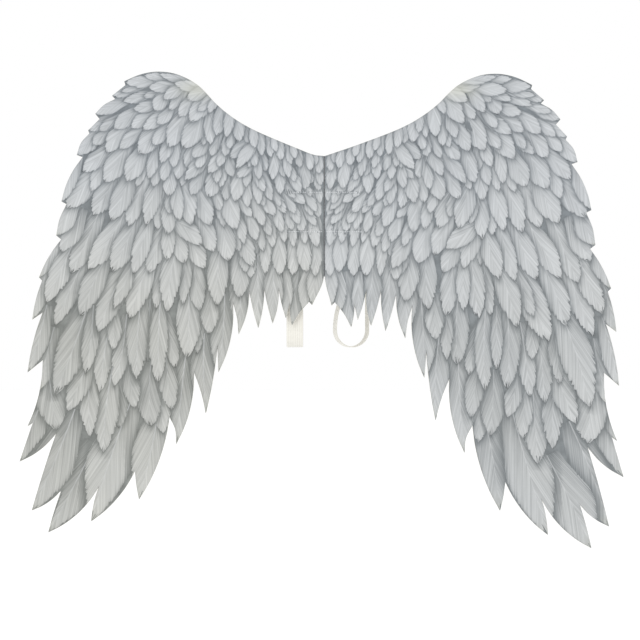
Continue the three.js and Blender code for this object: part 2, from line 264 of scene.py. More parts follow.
def add_floor():
    """A plain pale floor, far enough below the wings to catch no hard shadow."""
    half = FLOOR_HALF
    corners = [(-half, -half), (half, -half), (half, half), (-half, half)]
    mesh = bpy.data.meshes.new("studio_floor")
    mesh.from_pydata([(x, y, FLOOR_HEIGHT) for x, y in corners], [], [(0, 1, 2, 3)])
    floor = bpy.data.objects.new("studio_floor", mesh)
    bpy.context.collection.objects.link(floor)
    material = bpy.data.materials.new("studio_paper")
    material.use_nodes = True
    shader = material.node_tree.nodes["Principled BSDF"]
    shader.inputs["Base Color"].default_value = (0.95, 0.95, 0.95, 1)
    shader.inputs["Roughness"].default_value = 0.9
    shader.inputs["Emission Color"].default_value = (1, 1, 1, 1)
    shader.inputs["Emission Strength"].default_value = FLOOR_GLOW
    mesh.materials.append(material)


def add_studio():
    world = bpy.data.worlds.new("studio")
    bpy.context.scene.world = world
    world.use_nodes = True
    world.node_tree.nodes["Background"].inputs["Color"].default_value = (1, 1, 1, 1)
    world.node_tree.nodes["Background"].inputs["Strength"].default_value = 1.0
    for light in LIGHTS:
        add_light(*light)
    bpy.context.scene.view_settings.view_transform = "Standard"


add_camera()
add_studio()
add_floor()


# ---- Materials ------------------------------------------------------------------------------


BUMP_STRENGTH = 0.6
FOLD_SHADE_HALF = 1.6 * MM  # how far the painted shade of the crease reaches to each side of the fold


class Shading:
    """A Principled material whose node tree is put together by short calls."""

    def __init__(self, name, roughness):
        self.material = bpy.data.materials.new(name)
        self.material.use_nodes = True
        self.tree = self.material.node_tree
        self.shader = self.tree.nodes["Principled BSDF"]
        self.shader.inputs["Roughness"].default_value = roughness
        self.shader.inputs["Specular IOR Level"].default_value = 0.25
        self.shader.inputs["Sheen Weight"].default_value = 0.15
        self.shader.inputs["Sheen Roughness"].default_value = 0.6

    def node(self, kind, **values):
        node = self.tree.nodes.new(kind)
        for key, value in values.items():
            setattr(node, key, value)
        return node

    def join(self, source, target):
        if hasattr(source, "is_output"):
            self.tree.links.new(source, target)
        else:
            target.default_value = source

    def attribute(self, name):
        return self.node("ShaderNodeAttribute", attribute_name=name).outputs["Fac"]

    def place(self):
        return self.node("ShaderNodeTexCoord").outputs["Object"]

    def math(self, operation, a, b=0.0, clamp=False):
        node = self.node("ShaderNodeMath", operation=operation, use_clamp=clamp)
        self.join(a, node.inputs[0])
        self.join(b, node.inputs[1])
        return node.outputs[0]

    def vector(self, x, y, z):
        node = self.node("ShaderNodeCombineXYZ")
        for value, socket in zip((x, y, z), node.inputs):
            self.join(value, socket)
        return node.outputs[0]

    def scaled(self, vector, scale):
        node = self.node("ShaderNodeMapping")
        self.join(vector, node.inputs["Vector"])
        node.inputs["Scale"].default_value = scale
        return node.outputs[0]

    def noise(self, vector, scale, detail=3.0, roughness=0.55):
        node = self.node("ShaderNodeTexNoise")
        self.join(vector, node.inputs["Vector"])
        node.inputs["Scale"].default_value = scale
        node.inputs["Detail"].default_value = detail
        node.inputs["Roughness"].default_value = roughness
        return node.outputs["Fac"]

    def ramp(self, factor, stops):
        """stops are (place, value) pairs, where a value is a grey or a colour."""
        node = self.node("ShaderNodeValToRGB")
        elements = node.color_ramp.elements
        while len(elements) < len(stops):
            elements.new(0.5)
        for element, (place, value) in zip(elements, stops):
            element.position = place
            element.color = (*value, 1) if isinstance(value, tuple) else (value, value, value, 1)
        self.join(factor, node.inputs["Fac"])
        return node.outputs["Color"]

    def mix(self, factor, a, b, how="MIX"):
        node = self.node("ShaderNodeMix", data_type="RGBA", blend_type=how)
        self.join(factor, node.inputs["Factor"])
        for value, socket in ((a, node.inputs[6]), (b, node.inputs[7])):
            self.join((*value, 1) if isinstance(value, tuple) else value, socket)
        return node.outputs[2]

    def varied(self, colour, factor, stops):
        """The colour multiplied by a grey that follows the factor."""
        return self.mix(1.0, colour, self.ramp(factor, stops), "MULTIPLY")

    def bump(self, height, distance):
        node = self.node("ShaderNodeBump")
        node.inputs["Strength"].default_value = BUMP_STRENGTH
        node.inputs["Distance"].default_value = distance
        self.join(height, node.inputs["Height"])
        self.join(node.outputs[0], self.shader.inputs["Normal"])

    def colour(self, colour):
        self.join(colour, self.shader.inputs["Base Color"])
        return self.material


COOL_LIGHT = (0.462, 0.480, 0.496)
WARM_LIGHT = (0.478, 0.481, 0.458)
COOL_DARK = (0.165, 0.183, 0.198)
WARM_DARK = (0.176, 0.184, 0.172)
CREAM = (0.50, 0.505, 0.44)


def painted_fold_shade(s, colour):
    """Painted shade: darkens a colour along the fold, which is the object's own X = 0, where shade
    falls into the crease.
    """
    split = s.node("ShaderNodeSeparateXYZ")
    s.join(s.place(), split.inputs[0])
    beside = s.math("DIVIDE", s.math("ABSOLUTE", split.outputs[0]), FOLD_SHADE_HALF)
    line = s.math("SUBTRACT", 1.0, s.math("MULTIPLY", beside, beside), clamp=True)
    # painted shade in the crease: the colour goes towards this dark grey at the fold
    return s.mix(s.math("MULTIPLY", line, 0.85), colour, (0.075, 0.085, 0.095))


def feather_material():
    """Printed feather: barbs that sweep off a pale shaft, dark where another feather lies over."""
    s = Shading("printed_feather", 0.85)
    across, barb = s.attribute("across"), s.attribute("barb")
    seed, warm = s.attribute("seed"), s.attribute("warm")
    other_side = s.math("MULTIPLY", s.math("GREATER_THAN", across, 0.0), 7.3)
    here = s.math("ADD", s.math("MULTIPLY", across, 0.12), other_side)
    coarse = s.noise(s.vector(here, barb, seed), 0.085, 2.0, 0.6)
    fine = s.noise(s.vector(here, barb, seed), 0.22, 4.0, 0.75)
    streak = s.math("ADD", s.math("MULTIPLY", coarse, 0.4), s.math("MULTIPLY", fine, 0.6))
    light = s.mix(warm, COOL_LIGHT, WARM_LIGHT)
    dark = s.mix(warm, COOL_DARK, WARM_DARK)
    uneven = s.math("MULTIPLY", s.math("SUBTRACT", 0.5, streak), 0.9)
    parted = s.ramp(s.noise(s.vector(here, barb, seed), 0.42, 2.0, 0.6), [(0.40, 0.0), (0.58, 1.0)])
    parted = s.math("MULTIPLY", s.math("MULTIPLY", parted, s.attribute("brushed")), 0.9)
    depth = s.math("ADD", s.math("ADD", s.attribute("shade"), uneven), parted)
    colour = s.mix(s.ramp(depth, [(0.0, 0.0), (0.3, 0.25), (0.65, 0.68), (1.0, 1.0)]), light, dark)
    colour = s.mix(s.attribute("cream"), colour, CREAM)
    side = s.math("MULTIPLY", s.math("ABSOLUTE", across), 0.7)
    shaft = s.math("MULTIPLY", s.math("SUBTRACT", 1.0, side, clamp=True), 0.55)
    colour = s.mix(s.math("MULTIPLY", shaft, s.attribute("shaft")), colour, (0.56, 0.57, 0.58))
    colour = s.varied(colour, streak, [(0.38, 0.83), (0.62, 1.07)])
    s.bump(fine, 0.3 * MM)
    return s.colour(painted_fold_shade(s, colour))


def gap_material():
    """The print between the feathers: soft, mottled and dark."""
    s = Shading("printed_shadow", 0.9)
    cloud = s.noise(s.place(), 60, 4.0)
    colour = s.mix(s.attribute("warm"), COOL_DARK, WARM_DARK)
    colour = s.varied(colour, cloud, [(0.3, 0.8), (0.7, 1.25)])
    s.bump(s.noise(s.place(), 1500, 2.0), 0.1 * MM)
    return s.colour(painted_fold_shade(s, colour))


def crease_shade_material():
    """The print in the fold, darkened all over as painted shade where shade falls into the crease."""
    s = Shading("crease_painted_shade", 0.95)
    cloud = s.noise(s.scaled(s.place(), (1.0, 1.0, 0.25)), 900, 3.0)
    s.bump(cloud, 0.1 * MM)
    patches = s.ramp(cloud, [(0.35, 0.0), (0.7, 1.0)])
    # painted shade: the cloth in the crease is near-black, with paler patches
    return s.colour(s.mix(patches, (0.07, 0.075, 0.08), (0.20, 0.21, 0.22)))


def foam_material():
    s = Shading("foam_edge", 0.95)
    cells = s.noise(s.place(), 2200, 3.0)
    s.bump(cells, 0.15 * MM)
    return s.colour(s.mix(cells, (0.62, 0.60, 0.54), (0.80, 0.78, 0.72)))


def felt_material(name, light, dark):
    """Pressed fibres: fine crossing streaks over a soft mottle."""
    s = Shading(name, 0.95)
    place = s.place()
    one = s.noise(s.scaled(place, (1.0, 1.0, 0.18)), 1400, 3.0)
    two = s.noise(s.scaled(place, (0.18, 1.0, 1.0)), 1400, 3.0)
    fibres = s.math("MAXIMUM", one, two)
    mottle = s.noise(place, 55, 3.0)
    colour = s.mix(s.ramp(fibres, [(0.45, 0.0), (0.75, 1.0)]), dark, light)
    colour = s.varied(colour, mottle, [(0.3, 0.93), (0.7, 1.05)])
    s.bump(fibres, 0.2 * MM)
    return s.colour(colour)


def woven_material(name, light, dark, threads_per_mm):
    """Plain weave, by two crossing waves."""
    s = Shading(name, 0.9)
    place = s.place()
    waves = []
    for direction in ("X", "Z"):
        wave = s.node("ShaderNodeTexWave", wave_type="BANDS", bands_direction=direction)
        s.join(place, wave.inputs["Vector"])
        wave.inputs["Scale"].default_value = threads_per_mm * 1000 / 20 * math.pi
        wave.inputs["Distortion"].default_value = 0.4
        waves.append(wave.outputs["Fac"])
    weave = s.math("MULTIPLY", waves[0], waves[1])
    mottle = s.noise(place, 120, 3.0)
    colour = s.mix(weave, dark, light)
    colour = s.varied(colour, mottle, [(0.3, 0.94), (0.7, 1.04)])
    s.bump(weave, 0.2 * MM)
    return s.colour(colour)


def elastic_material():
    """Ribbed elastic: rubber cords along its length, with fine thread wrapped across them, and
    painted shade in the grooves between the cords.
    """
    s = Shading("ribbed_elastic", 0.8)
    across, along = s.attribute("across"), s.attribute("along")
    thread = s.vector(s.math("MULTIPLY", across, 0.6), s.math("MULTIPLY", along, 2.2), 0.0)
    wrap = s.noise(thread, 1.0, 2.0)
    # painted shade: the grooves between the cords are coloured darker
    colour = s.mix(s.attribute("groove_shade"), (0.73, 0.715, 0.66), (0.60, 0.585, 0.53))
    colour = s.varied(colour, wrap, [(0.3, 0.90), (0.7, 1.05)])
    s.bump(wrap, 0.2 * MM)
    return s.colour(colour)


def thread_material():
    s = Shading("sewing_thread", 0.6)
    twist = s.noise(s.scaled(s.place(), (1.0, 1.0, 3.0)), 2600, 2.0)
    s.bump(twist, 0.1 * MM)
    return s.colour(s.mix(twist, (0.66, 0.68, 0.70), (0.84, 0.85, 0.86)))


FEATHER = feather_material()
GAP = gap_material()
CREASE_SHADE = crease_shade_material()
FOAM = foam_material()
LINING = felt_material("felt_lining", (0.70, 0.70, 0.69), (0.50, 0.50, 0.49))
PATCH = woven_material("patch_weave", (0.62, 0.62, 0.61), (0.42, 0.42, 0.41), 1.6)
ELASTIC = elastic_material()
THREAD = thread_material()


# ---- Meshes ---------------------------------------------------------------------------------

BOW = 3.0  # mm that the sheet bows back at the end of the length below
BOW_START, BOW_LENGTH = 80, 300  # mm from the fold, and on from there, in which it does
CURL = 2.5  # mm that the lowest tips curl forward or back
CURL_START, CURL_LENGTH = 150, 350  # mm below the patch, and on from there, in which they do


def make_object(name, points, faces, material, attributes=None, smooth=True):
    mesh = bpy.data.meshes.new(name)
    mesh.from_pydata([tuple(p) for p in points], [], [tuple(f) for f in faces])
    for key, values in (attributes or {}).items():
        layer = mesh.attributes.new(key, "FLOAT", "POINT")
        layer.data.foreach_set("value", np.asarray(values, np.float32))
    mesh.materials.append(material)
    mesh.validate()
    if smooth:
        mesh.shade_smooth()
    thing = bpy.data.objects.new(name, mesh)
    bpy.context.collection.objects.link(thing)
    return thing


def open_sides(faces):
    """The directed sides that only one face has, in the order in which they were met."""
    sides = dict.fromkeys(pair for face in faces for pair in zip(face, face[1:] + face[:1]))
    return [(a, b) for a, b in sides if (b, a) not in sides]


def signed_area(flat):
    """Positive for corners that run anticlockwise as the printed face is seen."""
    x, z = flat[:, 0], flat[:, 1]
    return (x * np.roll(z, -1) - z * np.roll(x, -1)).sum() / 2


def grid_faces(rows, columns, flip=False):
    index = np.arange(rows * columns).reshape(rows, columns)
    quads = np.stack([index[:-1, :-1], index[:-1, 1:], index[1:, 1:], index[1:, :-1]], axis=-1)
    quads = quads.reshape(-1, 4)
    return (quads[:, ::-1] if flip else quads).tolist()


def grid_border(rows, columns):
    """The points round a grid, in order, from its first corner along its first row."""
    index = np.arange(rows * columns).reshape(rows, columns)
    sides = [index[0], index[1:, -1], index[-1, ::-1][1:], index[::-1, 0][1:-1]]
    return np.concatenate(sides).tolist()


def front_outline(node):
    """The corners round the front of a flat CAD layer, in mm as (x, z), in order."""
    mesh = frame["nodes"][node].data
    front = min(v.co.y for v in mesh.vertices)
    places = [(round(v.co.x / MM, 3), round(v.co.z / MM, 3)) for v in mesh.vertices]
    faces = [
        [places[i] for i in polygon.vertices]
        for polygon in mesh.polygons
        if all(abs(mesh.vertices[i].co.y - front) < 1e-5 for i in polygon.vertices)
    ]
    after = dict(open_sides(faces))
    start = current = min(after)
    loop = []
    while True:
        loop.append(current)
        current = after[current]
        if current == start:
            return np.array(loop)


def rounded_outline(corners, step=3.0, sharp=math.radians(30)):
    """The same outline with smooth curves between its sharp corners, a point every few mm."""
    count = len(corners)
    before = corners - np.roll(corners, 1, axis=0)
    after = np.roll(corners, -1, axis=0) - corners
    turn = np.arctan2(
        before[:, 0] * after[:, 1] - before[:, 1] * after[:, 0], (before * after).sum(axis=1)
    )
    is_sharp = np.abs(turn) > sharp
    points = []
    for i in range(count):
        p1, p2 = corners[i], corners[(i + 1) % count]
        p0 = p1 if is_sharp[i] else corners[i - 1]
        p3 = p2 if is_sharp[(i + 1) % count] else corners[(i + 2) % count]
        length = np.hypot(*(p2 - p1))
        m1 = (p2 - p0) / (np.hypot(*(p1 - p0)) + length) * length if not is_sharp[i] else p2 - p1
        m2 = p2 - p1
        if not is_sharp[(i + 1) % count]:
            m2 = (p3 - p1) / (length + np.hypot(*(p3 - p2))) * length
        steps = max(1, round(length / step))
        for t in np.arange(steps) / steps:
            points.append(
                (2 * t**3 - 3 * t**2 + 1) * p1
                + (t**3 - 2 * t**2 + t) * m1
                + (3 * t**2 - 2 * t**3) * p2
                + (t**3 - t**2) * m2
            )
    return np.array(points)


def to_outline(points, outline, reach=25.0):
    """Each point's distance to the outline, up to about `reach`, and whether it is inside."""
    a, b = outline, np.roll(outline, -1, axis=0)
    x, z = points[:, :1], points[:, 1:]
    rising = b - a
    with np.errstate(divide="ignore", invalid="ignore"):
        left = x < rising[:, 0] * (z - a[:, 1]) / rising[:, 1] + a[:, 0]
    inside = (((a[:, 1] > z) != (b[:, 1] > z)) & left).sum(axis=1) % 2 == 1
    low, high = points.min(axis=0) - reach, points.max(axis=0) + reach
    near = ((np.maximum(a, b) > low) & (np.minimum(a, b) < high)).all(axis=1)
    if not near.any():
        return np.full(len(points), reach), inside
    a, along = a[near], rising[near]
    dx, dz = x - a[:, 0], z - a[:, 1]
    t = (dx * along[:, 0] + dz * along[:, 1]) / np.maximum((along**2).sum(axis=1), 1e-9)
    t = np.clip(t, 0, 1)
    gap = np.hypot(dx - t * along[:, 0], dz - t * along[:, 1]).min(axis=1)
    return gap, inside


def bend(x, z):
    """How far in mm the hung sheet bows forward or back at a place on it."""
    out = np.clip((np.abs(x) - BOW_START) / BOW_LENGTH, 0, 1.3)
    low = np.clip((-z - CURL_START) / CURL_LENGTH, 0, 1)
    wave = 1.1 * np.sin(x / 61 + z / 97) + 0.8 * np.sin(x / 37 - z / 53)
    return BOW * out**2 + wave * np.minimum(out * 2, 1) - CURL * low**2 * np.sin(x / 29)


def smoothstep(t):
    t = np.clip(t, 0, 1)
    return t * t * (3 - 2 * t)


def fade_in(t, least):
    """From `least` where t is 0 or less, smoothly to 1 where t is 1 or more."""
    return least + (1 - least) * smoothstep(t)


class Wing:
    """One wing's cut outline, and the way from the layout to its place."""

    def __init__(self, name):
        self.name = name
        self.sign = -1 if name == "left" else 1
        self.size = LEFT_SIZE if name == "left" else 1.0
        self.cut = rounded_outline(front_outline(f"{name}_printed_face"))
        from_fold = np.maximum(self.sign * self.cut[:, 0], FOLD_EDGE / MM)
        self.cut[:, 0] = self.sign * from_fold

    def place(self, points):
        """Layout points in mm to their place on this wing."""
        points = np.array(points, float)
        if self.sign < 0:
            c, s = math.cos(LEFT_LIFT), math.sin(LEFT_LIFT)
            turn = np.array([[c, s], [-s, c]])
            points = (points - LEFT_CENTRE) @ turn * LEFT_SIZE + LEFT_CENTRE
            points[:, 0] *= -1
        return points

    def warm(self, points):
        """From 0, bluish, to 1, warm grey."""
        x, z = points[:, 0], points[:, 1]
        down = smoothstep((120 - z) / 330)
        down = down * (LEFT_WARMTH if self.sign < 0 else RIGHT_WARMTH)
        return np.clip(down + 0.05 * np.sin(x / 23 + z / 31), 0, 1)


def triangulate(outline, spacing):
    low, high = outline.min(axis=0), outline.max(axis=0)
    xs = np.arange(low[0], high[0], spacing)
    zs = np.arange(low[1], high[1], spacing)
    grid = np.array([(x, z) for x in xs for z in zs])
    gap, inside = to_outline(grid, outline)
    grid = grid[inside & (gap > spacing * 0.5)]
    points = [Vector(p) for p in np.vstack([outline, grid])]
    edges = [(i, (i + 1) % len(outline)) for i in range(len(outline))]
    found = delaunay_2d_cdt(points, edges, [], 1, 1e-4)
    return np.array([tuple(p) for p in found[0]]), [tuple(f) for f in found[2]]


def layer_mesh(wing, name, front, back, material, spacing, bulge=0.0):
    """A layer of the sheet with both faces and its cut rim, which may bulge a little."""
    flat, faces = triangulate(wing.cut, spacing)
    count = len(flat)
    rim = open_sides(faces)
    curve = bend(flat[:, 0], flat[:, 1])
    points = []
    for depth in (front, back):
        points += [(x * MM, depth + c * MM, z * MM) for (x, z), c in zip(flat, curve)]
    out = {}
    for a, b in rim:
        step = flat[b] - flat[a]
        normal = np.array([step[1], -step[0]]) / max(np.hypot(*step), 1e-9)
        out[a] = out.get(a, 0) + normal
        out[b] = out.get(b, 0) + normal
    middle = {}
    for i, normal in out.items():
        x, z = flat[i] + bulge * normal / max(np.hypot(*normal), 1e-9)
        middle[i] = len(points)
        points.append((x * MM, (front + back) / 2 + curve[i] * MM, z * MM))
    forward = [face[::-1] for face in faces]
    cross = np.cross(flat[faces[0][1]] - flat[faces[0][0]], flat[faces[0][2]] - flat[faces[0][0]])
    if cross > 0:
        forward = faces
    solid = [tuple(f) for f in forward]
    solid += [tuple(i + count for i in reversed(f)) for f in forward]
    for a, b in rim:
        if cross <= 0:
            a, b = b, a
        solid.append((b, a, middle[a], middle[b]))
        solid.append((middle[b], middle[a], a + count, b + count))
    values = {"warm": wing.warm(np.array([(p[0] / MM, p[2] / MM) for p in points]))}
    return make_object(f"{wing.name}_{name}", points, solid, material, values, smooth=False)


# ---- Feathers -------------------------------------------------------------------------------


def anticlockwise(faces, flat):
    """The faces, each turned so that it looks towards the printed side."""
    turned = []
    for face in faces:
        area = signed_area(flat[list(face)])
        turned.append(tuple(face) if area > 0 else tuple(reversed(face)))
    return turned


def crop(outline, low, high):
    """The part of the outline inside a box."""
    for axis, limit, side in ((0, low[0], 1), (0, high[0], -1), (1, low[1], 1), (1, high[1], -1)):
        kept = []
        for a, b in zip(outline, np.roll(outline, -1, axis=0)):
            over_a, over_b = side * (a[axis] - limit), side * (b[axis] - limit)
            if over_a >= 0:
                kept.append(a)
            if (over_a >= 0) != (over_b >= 0):
                kept.append(a + (b - a) * over_a / (over_a - over_b))
        outline = np.array(kept)
    return outline


def area_of(flat, faces):
    return sum(abs(signed_area(flat[list(face)])) for face in faces)


def clip_to(flat, faces, border, outline):
    """The mesh inside the outline, with each of its points given as a mix of the old ones."""
    inside = to_outline(flat, outline)[1]
    whole = [face for face in faces if inside[list(face)].all()]
    outline = crop(outline, flat.min(axis=0) - 5, flat.max(axis=0) + 5)
    everything = np.vstack([flat, outline])
    ring = list(range(len(flat), len(everything)))
    shapes = [list(f) for f in anticlockwise([ring] + list(faces), everything)]
    points = [Vector(p) for p in everything]
    for tolerance in (1e-4, 1e-3, 1e-2, 3e-2):
        found = delaunay_2d_cdt(points, [], shapes, 1, tolerance, True)
        place = np.array([tuple(p) for p in found[0]])
        kept = [f for f, origin in zip(found[2], found[5]) if 0 in origin and len(origin) > 1]
        if kept:
            middle = np.array([place[list(f)].mean(axis=0) for f in kept])
            kept = [f for f, within in zip(kept, to_outline(middle, border)[1]) if within]
        if kept and area_of(place, kept) >= 0.97 * area_of(flat, whole):
            break
    else:
        place, kept = flat, whole
    used = sorted({i for f in kept for i in f})
    number = {old: new for new, old in enumerate(used)}
    kept = [tuple(number[i] for i in f) for f in kept]
    place = place[used].reshape(-1, 2)
    gap = np.linalg.norm(place[:, None] - flat[None], axis=2)
    near = np.argsort(gap, axis=1)[:, :3]
    weight = 1 / (np.take_along_axis(gap, near, axis=1) + 1e-4) ** 2
    return place, kept, near, weight / weight.sum(axis=1, keepdims=True)


def frayed_side(rows, random, depth):
    """How much of its width a side keeps at each row: clumps of barbs with notches between."""
    keep = np.ones(rows + 1)
    row = 0
    while row <= rows:
        clump = int(random.integers(3, 9))
        notch = depth * random.uniform(0.1, 1.0) * fade_in((row / rows - 0.3) / 0.4, 0.15)
        for i in range(row, min(row + clump, rows + 1)):
            keep[i] = 1 - notch * (1 - (i - row + 1) / clump)
        row += clump
    return keep


class Feather:
    """One printed feather as a grid: each row is a pair of barbs, the columns run along it."""

    BLUNT = {"primary": 1.6, "secondary": 2.1, "covert": 2.2}
    FRAY = {"primary": 0.22, "secondary": 0.42, "covert": 0.36}
    BASE_WIDTH = 0.55  # share of its width that a feather has at its base
    FULL_AT = 0.55  # share of its length at which it has its full width
    NARROWS_AT = 0.52  # share of its length from which it narrows to the tip
    THINNEST = 0.04  # least share of its width

    def __init__(self, wing, spec, kind, random):
        tip, base = wing.place([spec[:2], spec[2:4]])
        base = base - (tip - base) * HIDDEN[kind]
        self.kind = kind
        self.width = spec[4] * WIDER[kind] * wing.size
        self.length = float(np.hypot(*(tip - base)))
        self.seed = random.uniform(0, 90)
        self.tone = random.uniform(-0.10, 0.10)
        order = (tip[1] - LOWEST) / TALLNESS + INWARDS * (1 - abs(tip[0]) / HALF_SPAN)
        self.lift = LAYERING * order + random.uniform(0, JUMBLE)
        self.build(wing, tip, base, random)

    def half_width(self, v, blunt):
        """Half the width at v, from 0 at the base to 1 at the tip."""
        rise = fade_in(v / self.FULL_AT, self.BASE_WIDTH)
        fall = np.clip((v - self.NARROWS_AT) / (1 - self.NARROWS_AT), 0, 1)
        return 0.5 * self.width * rise * np.maximum((1 - fall**blunt) ** 0.80, self.THINNEST)

    def build(self, wing, tip, base, random):
        rows = int(np.clip(round(self.length / GRAIN), 12, 64))
        columns = int(np.clip(round(self.width / GRAIN / 2), 3, 10)) * 2
        along = (tip - base) / self.length
        aside = np.array([-along[1], along[0]])
        bow = random.uniform(-0.03, 0.03) * self.length
        fray = np.stack([frayed_side(rows, random, self.FRAY[self.kind]) for _ in range(2)])
        blunt = self.BLUNT[self.kind] + random.uniform(-0.35, 0.35)
        ends = random.uniform(-0.10, 0.02, columns + 1)
        grid_u, grid_s = np.meshgrid(np.linspace(-1, 1, columns + 1), np.linspace(0, 1, rows + 1))
        sweep = min(BARB_SWEEP * 0.5 * self.width / self.length, 0.7)
        v = grid_s + sweep * np.abs(grid_u) ** 1.2 * (1 - grid_s) ** 0.9 * smoothstep(grid_s * 4)
        v = np.clip(v + ends * grid_s**5 * (np.abs(grid_u) > 0.01), 0, 1)
        keep = np.take_along_axis(fray.T, (grid_u > 0).astype(int), axis=1)
        keep = 1 - (1 - keep) * np.abs(grid_u) ** 1.5
        across = grid_u * self.half_width(v, blunt) * keep
        place = base + v[..., None] * self.length * along + across[..., None] * aside
        place = place + (np.sin(v * math.pi) * bow)[..., None] * aside
        flat = place.reshape(-1, 2)
        self.v, self.u, self.across = v.ravel(), grid_u.ravel(), across.ravel()
        self.barb = self.v * self.length - BARB_SLOPE * np.abs(self.across)
        index = np.arange(len(flat)).reshape(rows + 1, columns + 1)
        self.faces = anticlockwise(grid_faces(rows + 1, columns + 1), flat)
        sides = [index[:, 0], index[-1, 1:], index[::-1, -1][1:], index[0, ::-1][1:-1]]
        self.border = flat[np.concatenate(sides)]
        self.flat = flat
        gap, inside = to_outline(flat, wing.cut)
        if not inside.all():
            self.flat, self.faces, near, weight = clip_to(flat, self.faces, self.border, wing.cut)
            if not self.faces:
                return
            for key in ("v", "u", "across", "barb"):
                setattr(self, key, (getattr(self, key)[near] * weight).sum(axis=1))
            gap, inside = to_outline(self.flat, wing.cut)
        self.gap = gap
        self.height = self.relief()

    def relief(self):
        """How far in mm each point stands in front of the sheet."""
        height = LEAST_RELIEF + RELIEF * self.v * min(1.0, 0.4 + self.length / 110)
        height = height + CROWN * (1 - self.u**2) * (self.width / 30)
        x, z = np.abs(self.flat[:, 0]), self.flat[:, 1]
        height = height * fade_in(self.gap / EDGE_FADE, EDGE_LEFT)
        height = height + self.lift
        height = height * fade_in((x - FOLD_EDGE / MM) / FOLD_FADE, FLAT_LEFT)
        for row in (-STITCH_HALF_HEIGHT, STITCH_HALF_HEIGHT):
            beside = np.maximum(np.abs(z - row), x - STITCH_REACH)
            height = height * fade_in((beside - STITCH_CLEAR) / STITCH_FADE, FLAT_LEFT)
        return height

    def skirt(self, offset):
        """Corners and faces that close the sides down to the sheet, after `offset` points."""
        rim = sorted(open_sides(self.faces))
        corners = sorted({i for side in rim for i in side})
        number = {old: offset + new for new, old in enumerate(corners)}
        count = len(corners)
        faces = [(number[b], number[a], number[a] + count, number[b] + count) for a, b in rim]
        return corners, faces


TIPS_DARKER = 0.16
TIPS_FROM, TIPS_OVER = -60, 130  # height in mm from which it darkens, and over how many
LEFT_DARKER, RIGHT_DARKER = 0.06, 0.02
MIDDLE_PALER, MIDDLE_REACH = 0.10, 110
ALL_PALER = 0.03


def dusk(wing, flat):
    """How much darker the print is towards the tips and on the left, and paler in the middle."""
    low = TIPS_DARKER * smoothstep((TIPS_FROM - flat[:, 1]) / TIPS_OVER)
    side = LEFT_DARKER if wing.sign < 0 else RIGHT_DARKER
    middle = smoothstep(1.25 - np.hypot(flat[:, 0], flat[:, 1] + 20) / MIDDLE_REACH)
    return low + side - MIDDLE_PALER * middle - ALL_PALER


def find_overlaps(feathers):
    """For each pair of near feathers: the points of the first that are beside or under the second."""
    for f in feathers:
        f.low, f.high = f.border.min(axis=0), f.border.max(axis=0)
    found = {}
    for i, f in enumerate(feathers):
        for j, g in enumerate(feathers):
            if i == j or (f.low > g.high + REACH).any() or (g.low > f.high + REACH).any():
                continue
            beside = (f.flat > g.low - REACH) & (f.flat < g.high + REACH)
            close = np.flatnonzero(beside.all(axis=1))
            if not len(close):
                continue
            gap, under = to_outline(f.flat[close], g.border)
            nearest = ((f.flat[close, None] - g.flat[None]) ** 2).sum(axis=2).argmin(axis=1)
            found[i, j] = close, nearest, np.where(under, 0.0, gap), under
    return found


def stack_feathers(feathers, found):
    """Says which of each pair lies over the other, and tucks the other one under it."""
    ahead = dict.fromkeys(found, 0.0)
    for (i, j), (close, nearest, gap, under) in found.items():
        rise = float((feathers[j].height[nearest] - feathers[i].height[close])[under].sum())
        ahead[i, j] += rise
        if (j, i) in ahead:
            ahead[j, i] -= rise
    tucked = sorted((pair for pair in found if ahead[pair] > 0), key=lambda p: -feathers[p[1]].lift)
    for _ in range(TUCK_ROUNDS):
        for i, j in tucked:
            close, nearest, gap, under = found[i, j]
            near = under | (gap < SETTLE)
            limit = feathers[j].height[nearest[near]] - TUCK + TUCK_RISE * gap[near]
            own = feathers[i].height
            own[close[near]] = np.minimum(own[close[near]], np.maximum(limit, THINNEST_FILM))
    return ahead


HALO = 0.88  # darkness right beside the feather above
HALO_WIDTH, HALO_SHARE = 1.3, 0.10  # mm in which it fades, and more for a wide feather
BASE_DARK, BASE_END = 0.36, 0.85  # darkness of a feather's base, and where it has gone
SUNK_DARK, SUNK_FADE = 0.7, 0.07  # the same where the base comes out from under the others
RIM_DARK = 0.22  # darkness at the cut edge, which fades in about 1 mm


def shade_feathers(feathers, wing):
    """Sets how dark each point is, from the feathers that lie over it or close beside it."""
    found = find_overlaps(feathers)
    ahead = stack_feathers(feathers, found)
    for f in feathers:
        f.shade = np.zeros(len(f.flat))
    for (i, j), (close, nearest, gap, under) in found.items():
        f, g = feathers[i], feathers[j]
        over = ahead[i, j] > 0
        if ahead[i, j] == 0:
            over = g.height[nearest] > f.height[close]
        dark = np.where(under, 1.0, HALO * np.exp(-gap / (HALO_WIDTH + HALO_SHARE * g.width)))
        f.shade[close] = np.maximum(f.shade[close], np.where(over, dark, 0))
    for f in feathers:
        towards_base = BASE_DARK * np.clip(1 - f.v / BASE_END, 0, 1)
        sunk = SUNK_DARK * np.exp(-f.v / SUNK_FADE)
        rim = RIM_DARK * np.exp(-f.gap)
        shade = 1 - (1 - f.shade) * (1 - towards_base) * (1 - sunk)
        f.shade = np.clip(shade + rim + f.tone + dusk(wing, f.flat), 0, 1)
        beside = np.minimum((1 - np.abs(f.u)) * 0.5 * f.width, (1 - f.v) * f.length * 0.6)
        f.brushed = np.exp(-beside / (BRUSHED * f.width)) * smoothstep(f.v / 0.4)


SHOULDER = (203, 186)  # middle of the pale cream patch on the right wing, in mm
SHOULDER_CREAM, SHOULDER_CREAM_SIZE = 0.6, np.array([26.0, 14.0])
TIP_BLUSH, TIP_BLUSH_FADE = 0.55, 0.06  # the same at the tips of the long feathers


def cream(wing, flat):
    """A pale cream patch on the shoulder, strongest at its middle."""
    spot = wing.place([SHOULDER])[0]
    return SHOULDER_CREAM * np.exp(-(((flat - spot) / SHOULDER_CREAM_SIZE) ** 2).sum(axis=1))


